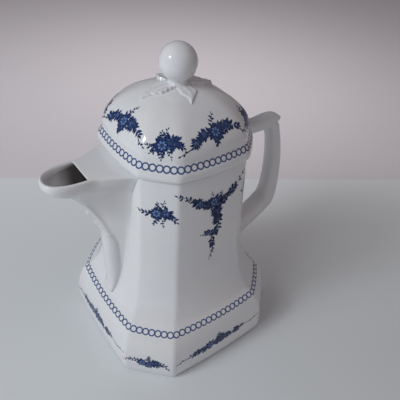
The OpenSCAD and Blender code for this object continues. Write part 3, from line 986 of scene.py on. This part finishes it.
BODY_SPRAY = {
    "stems": (
        (((-1, 145), (-9, 145), (-15, 155), (-27, 160)), 17, 4.9, 2.6),
        (((4, 144), (11, 145), (18, 151), (26.5, 162)), 15, 4.6, 2.4),
        (((-1, 147), (-1.6, 149), (-1, 152), (-1.4, 155)), 6, 3.2, 1.8),
        (((5, 145), (5.4, 148), (5.6, 150), (6.4, 153)), 6, 3.0, 1.8),
        (((0, 142), (7, 135), (8, 123), (0.8, 114.5)), 16, 5.2, 4.0),
        (((0.8, 115), (-1, 109), (4, 103), (-1, 96)), 10, 3.6, 1.8),
        (((2, 117), (-1, 121), (-4, 123), (-8.8, 121.6)), 6, 3.0, 1.8)),
    "tufts": ((1, 146, 6.4), (-12.5, 150, 4.4), (16.5, 151, 4.4), (-6.5, 147, 4.0), (9, 147, 4.2),
              (4.8, 130, 4.4), (2.2, 120, 4.2), (3, 138, 5.0), (-4, 122, 3.0), (0.8, 108, 2.8)),
    "flowers": ((0.4, 147.2, 4.2), (-10.5, 148.6, 2.4), (-3.6, 121.4, 2.4))}
BODY_SPRIG = {
    "stems": (
        (((-2, 144.5), (-6, 143), (-9, 144), (-13, 145.6)), 8, 3.8, 2.2),
        (((2, 145.5), (6, 146), (9, 143), (12.2, 139.4)), 9, 4.2, 2.6),
        (((-1, 147), (-1, 149), (-0.8, 151), (-1, 153)), 5, 3.0, 1.8),
        (((1.5, 147), (2, 150), (2.6, 152), (3.6, 155)), 5, 3.0, 1.8),
        (((-1, 143), (-1.6, 140), (-2, 138), (-2.8, 136)), 5, 3.2, 2.0),
        (((2, 143), (2.4, 140), (3, 137), (3.4, 134.6)), 4, 2.4, 1.6)),
    "tufts": ((3.9, 145.4, 5.6), (-1.2, 144.8, 5.2)),
    "flowers": ((-1.4, 144.9, 4.0), (4.8, 148.4, 1.8))}
LID_GARLAND = {
    "stems": (
        (((1, 194.5), (-6, 197), (-10, 194), (-16, 190)), 13, 4.4, 3.2),
        (((0.5, 197), (0.6, 200), (2.6, 203), (3.8, 206.8)), 7, 3.6, 1.6),
        (((4, 196.5), (9, 199), (14, 197), (20, 194.6)), 14, 4.8, 3.2),
        (((1, 193), (0.4, 191), (1.6, 189), (1.2, 187.6)), 5, 3.2, 2.4)),
    "lines": (((-16, 190), (-19, 188.4), (-21, 188.2), (-25, 187)),
              ((19.5, 194.6), (21.5, 191.4), (23, 191), (25.5, 190.2))),
    "tufts": ((2, 195, 5.6), (-7.6, 195.2, 4.2), (-13.6, 191.8, 3.8), (10, 196.8, 5.0), (1.4, 191, 3.6)),
    "flowers": ((1.6, 195.2, 4.2), (-7.0, 195.6, 2.0))}
LID_SPRIG = {
    "stems": (
        (((3, 190), (7, 192.4), (10, 191), (13.2, 189.6)), 9, 4.0, 2.8),
        (((5, 191.5), (7, 193), (8.6, 193.8), (10.4, 195)), 5, 3.2, 2.0),
        (((0, 188.5), (-3, 187), (-5, 187.4), (-8.4, 188.4)), 7, 3.4, 2.0),
        (((0, 188), (-2, 186), (-3.6, 185), (-5.8, 184)), 5, 3.0, 1.8),
        (((1, 190), (1, 193.5), (1.8, 196), (2.8, 199)), 6, 3.4, 1.8),
        (((0, 190), (-0.6, 193), (-0.4, 195), (-0.4, 197)), 4, 3.0, 1.8),
        (((1, 188), (0.6, 185.5), (1, 183.5), (1, 181.4)), 5, 3.0, 2.0),
        (((4, 188.5), (5, 186), (6, 184.5), (7.2, 182.2)), 4, 2.4, 1.6)),
    "tufts": ((6.2, 191.4, 5.6), (0.8, 189, 5.2)),
    "flowers": ((0.8, 189.2, 4.0),)}
BASE_GARLAND = {
    "stems": (
        (((-12, 21.6), (-18, 20), (-23, 21.4), (-29, 20)), 13, 4.0, 2.8),
        (((-6, 22.5), (0, 21.4), (5, 25), (11.5, 21)), 15, 5.0, 3.2),
        (((13, 21), (15, 22.4), (18, 22), (23, 23.2)), 11, 4.4, 2.8),
        (((-3, 24), (-2.6, 26), (-2, 28), (-1.6, 30)), 5, 3.0, 1.6)),
    "lines": (((-29, 20), (-33, 19.6), (-36, 20.4), (-40.5, 18.6)),
              ((23, 23), (28, 21.2), (33, 21.4), (41, 23))),
    "tufts": ((-10, 21.8, 5.0), (-0.4, 22.6, 5.6), (-23.4, 21.2, 3.6), (-17, 20.6, 3.8),
              (16.6, 22.4, 4.0), (7, 22.6, 3.8)),
    "flowers": ((-10, 22, 3.8), (4.6, 23, 2.2))}
BASE_SPRIG = {
    "stems": (
        (((-6, 18.4), (-10, 21), (-14, 21), (-20, 17.4)), 10, 3.4, 2.0),
        (((2, 18), (6, 20), (9, 18.4), (13, 18.4)), 9, 4.2, 2.8),
        (((-1, 19), (-1, 21), (-0.4, 23), (-0.2, 25)), 5, 3.0, 2.0)),
    "lines": (((12, 18.4), (13.4, 17.2), (14, 15.4), (15.6, 13.6)),),
    "tufts": ((-5, 17.8, 4.4), (5, 18.4, 5.0), (-0.4, 16.4, 4.0)),
    "flowers": ((-5.4, 17.6, 3.4), (-0.2, 15.4, 2.8))}
print("motifs: two on the body, two on the lid, two on the base")

# %% [markdown]
# ## Painting the pot and the lid
# The same motif returns on faces of the same kind, turned with the face. The pot and the lid have one
# film each, because they part when the lid is lifted.

# %% Painting the pot and the lid
def paint(ink, panel, motif, seed):
    for k, (points, count, first, last) in enumerate(motif["stems"]):
        twig(ink, panel, points, count, (first, last), seed + k)
    for points in motif.get("lines", ()):
        tendril = curve(points, 10)
        ink.line(panel, tendril, 0.8)
        for back, side in ((1, 0.0), (3, 0.9), (5, -0.9)):
            u, v = tendril[-back]
            u0, v0 = tendril[-back - 1]
            leaf(ink, panel, u, v, math.atan2(v - v0, u - u0) + side, 1.9, 0.8)
    for k, (u, v, size) in enumerate(motif["tufts"]):
        tuft(ink, panel, u, v, size, seed + 20 + k, 16, 0.85)
    for k, (u, v, size) in enumerate(motif["flowers"]):
        flower(ink, panel, u, v, size, 0.3 + 0.4 * k, 7 if size > 3 else 5)


pot_ink = Ink(surface_of(vessel))
for turn in (90, 270):
    paint(pot_ink, face_panel(turn), BODY_SPRAY, 20 + turn)
for turn in (45, 135, 225, 315):
    paint(pot_ink, face_panel(turn), BODY_SPRIG, turn)
    paint(pot_ink, face_panel(turn), BASE_SPRIG, turn + 3)
for turn in (0, 90, 180, 270):
    paint(pot_ink, face_panel(turn), BASE_GARLAND, turn + 1)
painted_pot = pot_ink.object("pot_painting")
settle(painted_pot, "pot", [])

lid_ink = Ink(surface_of(lid))
for turn in (0, 90, 180, 270):
    paint(lid_ink, face_panel(turn, 35, 195), LID_GARLAND, turn + 40)
for turn in (45, 135, 225, 315):
    paint(lid_ink, face_panel(turn, 30, 193), LID_SPRIG, turn + 60)
painted_lid = lid_ink.object("lid_painting")
settle(painted_lid, "lid", [])

# %% [markdown]
# ## Chains of rings
# One row of touching rings runs round the shoulder of the base and another round the lid. A repeated
# texture would stretch at the corners, so the rings are spaced along the plan's own length, and the
# pitch is trimmed until a whole number of them closes the row.

# %% Chains
def chain(ink, a, z, r, pitch, slope, shape):
    """Rings along the plan of half width a at height z; slope is the tilt of the surface."""
    ring = plan(a, r, *shape, 60, 40, 12)
    points = [Vector((x, y, 0)) for x, y in ring]
    lengths = [0.0]
    for p, q in zip(points, points[1:] + points[:1]):
        lengths.append(lengths[-1] + (q - p).length)
    count = round(lengths[-1] / pitch)
    step = lengths[-1] / count
    xs = [p.x for p in points] + [points[0].x]
    ys = [p.y for p in points] + [points[0].y]
    tilt = math.radians(slope)

    def strip(u, v):
        u %= lengths[-1]
        here = Vector((float(np.interp(u, lengths, xs)), float(np.interp(u, lengths, ys)), 0))
        ahead = Vector((float(np.interp((u + 0.4) % lengths[-1], lengths, xs)),
                        float(np.interp((u + 0.4) % lengths[-1], lengths, ys)), 0))
        along = (ahead - here).normalized()
        out = Vector((along.y, -along.x, 0))
        rise, look = facing(out, tilt)
        return here + Vector((0, 0, z)) + rise * v - look * 12, look

    for k in range(count):
        u = (k + 0.5) * step
        circle = [(u + 0.47 * step * math.cos(w), 0.47 * step * math.sin(w))
                  for w in (2 * math.pi * i / 26 for i in range(26))]
        ink.line(strip, circle, 1.1, 0.4, 0, True)
    return count


chain_pot = Ink(surface_of(vessel), 0.06)
print("rings on the base:", chain(chain_pot, 63.5, 44.6, 4.5, 4.8, 42, (cut_at(44.6), bow_at(44.6))))
base_chain = chain_pot.object("pot_chain")
settle(base_chain, "pot", [])
chain_lid = Ink(surface_of(lid), 0.06)
print("rings on the lid:", chain(chain_lid, 45.5, 180.4, 7, 4.45, 20, (CUT, BOW)))
lid_chain = chain_lid.object("lid_chain")
settle(lid_chain, "lid", [])

# %% [markdown]
# ## Table and light
# The pot stands on a plain pale table, whose far part has another tone behind a straight line. The
# light is a broad window on the left, a small lamp that leaves crisp glints on the glaze, a faint warm
# one for the room and one that lifts the far table. One strong lamp would give hard shadows.

# %% Table and light
table_shade = Shade("table")
on_table = table_shade.place()
LINE_X, LINE_Y, LINE_AT = 0.5179, 0.8553, 0.1921
past_line = (on_table.axis("X") * LINE_X + on_table.axis("Y") * LINE_Y) - LINE_AT
far = past_line.ramp(-0.001, 0.002)
cloudy = table_shade.noise(6.0, 3.0)
plain = table_shade.mix(far, (0.80, 0.84, 0.86, 1), (0.76, 0.73, 0.76, 1))
tone = table_shade.mix(cloudy.ramp(0.3, 0.7) * 0.06, plain, (0.6, 0.6, 0.6, 1))
table_shade.surface(Base_Color=tone, Roughness=cloudy * 0.1 + 0.5)
floor_mesh = bmesh.new()
bmesh.ops.create_grid(floor_mesh, x_segments=8, y_segments=8, size=3000)
floor = finish_mesh("table", floor_mesh, table_shade.material)
print("table ready")

# %% [markdown]
# ## Lights
# Glaze shows its lamps. A large lamp would leave a large flat patch on it, so the window lamp isn't
# mirrored, and the small one stands in for its glint.

# %% Lights
def area_light(name, place, aim, size, power, color, mirrored=True):
    data = bpy.data.lights.new(name, "AREA")
    data.shape, data.size, data.energy, data.color = "SQUARE", size, power, color
    lamp = bpy.data.objects.new(name, data)
    lamp.location = place
    lamp.rotation_euler = (Vector(aim) - Vector(place)).to_track_quat("-Z", "Y").to_euler()
    lamp.visible_glossy = mirrored
    bpy.context.scene.collection.objects.link(lamp)


area_light("window", (-0.97, -0.02, 0.74), (0, 0, 0.1), 0.7, 5.6, (0.92, 0.97, 1.0), False)
area_light("glint", (-0.9, 0.08, 0.82), (0, 0, 0.1), 0.2, 1.9, (0.95, 0.98, 1.0))
area_light("room", (0.7, -1.1, 0.9), (0, 0, 0.1), 1.4, 1.15, (1.0, 0.79, 0.77))
area_light("far_table", (0.25, 0.35, 0.6), (0.75, 0.95, 0), 0.5, 2.3, (1.0, 0.97, 0.98))
world = bpy.data.worlds.new("room")
world.use_nodes = True
world.node_tree.nodes["Background"].inputs[0].default_value = (0.85, 0.78, 0.80, 1)
world.node_tree.nodes["Background"].inputs[1].default_value = 0.20
bpy.context.scene.world = world
print("lights ready")
